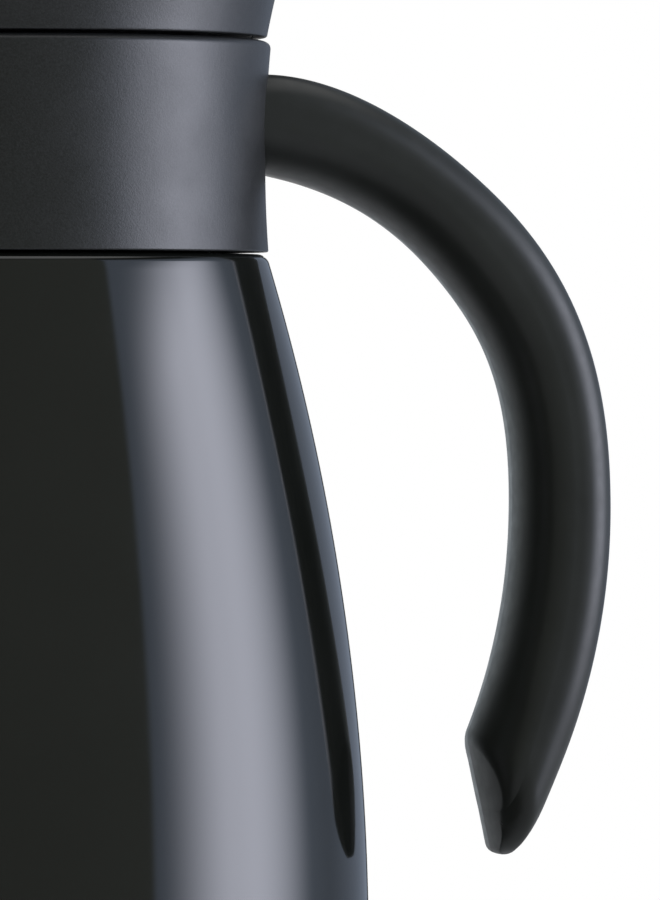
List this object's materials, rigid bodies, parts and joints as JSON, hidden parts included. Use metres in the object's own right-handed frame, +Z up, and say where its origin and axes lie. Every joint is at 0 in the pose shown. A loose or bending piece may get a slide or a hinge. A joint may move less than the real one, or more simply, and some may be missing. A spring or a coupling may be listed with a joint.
{
  "type": "vacuum carafe",
  "caption": "Hand-held vacuum carafe with a black lacquered steel body, matt grey neck collar, open-ended handle and screw-in push-button stopper.",
  "frame": {"origin": "middle of the foot pad's underside, on the surface that the carafe stands on", "axes": "+Z up along the flask's axis, +X towards the handle, -X towards the pouring lip, +Y to the side"},
  "size_m": [0.1835, 0.137, 0.2368],
  "materials": {
    "lacquer_black": "high-gloss black lacquer",
    "stainless": "satin stainless steel",
    "collar_grey": "matt dark grey, fine sand grain",
    "handle_black": "smooth satin black",
    "cover_grey": "matt dark grey, fine sand grain",
    "inner_plastic": "plain black moulded plastic",
    "base_black": "black, fine grain",
    "button_satin": "smooth satin black",
    "trim_chrome": "polished",
    "silicone": "translucent grey silicone",
    "foot_rubber": "matt black rubber",
    "spring_steel": "plain spring wire",
    "copper_foil": "copper foil",
    "getter_grey": "sintered grey",
    "zinc": "zinc-plated screw"
  },
  "bodies": {
    "flask": {"outer_shell": "lacquer_black", "inner_flask": "stainless", "bottom_plate": "stainless", "getter_pill": "getter_grey", "evacuation_seal": "stainless", "radiation_shield": "copper_foil", "base_cover": "base_black", "foot_pad": "foot_rubber", "neck_collar": "collar_grey", "neck_gasket": "silicone", "mouth_ring": "inner_plastic", "clamp_band": "stainless", "clamp_screw": "zinc", "clamp_nut": "zinc", "handle_left_half": "handle_black", "handle_right_half": "handle_black", "handle_screws": "zinc"},
    "neck_seal": {"stopper_gasket": "silicone"},
    "stopper": {"lid_shell": "collar_grey", "lid_top_cover": "cover_grey", "button_trim_ring": "trim_chrome", "stopper_plug": "inner_plastic", "plug_screws": "zinc", "channel_cover": "inner_plastic", "stem_seal": "silicone", "button_spring": "spring_steel"},
    "button": {"push_button": "button_satin", "valve_stem": "inner_plastic", "valve_disc": "inner_plastic", "valve_gasket": "silicone", "valve_screw": "zinc"}
  },
  "joints": [
    {"name": "stopper_lift", "type": "slide", "parent": "flask", "child": "neck_seal", "axis": [0, 0, 1], "range_m": [0, 0.048]},
    {"name": "stopper_turn", "type": "hinge", "parent": "neck_seal", "child": "stopper", "pos_m": [0, 0, 0.2], "axis": [0, 0, 1], "range_deg": [0, 720]},
    {"name": "button_press", "type": "slide", "parent": "stopper", "child": "button", "axis": [0, 0, -1], "range_m": [0, 0.0045], "stiffness_N_per_m": 400, "springref_m": -0.01, "deforming": ["button_spring"]}
  ],
  "couplings": [
    {"joint": "stopper_lift", "follows": "stopper_turn", "m_per_rad": 0.0038197}
  ]
}
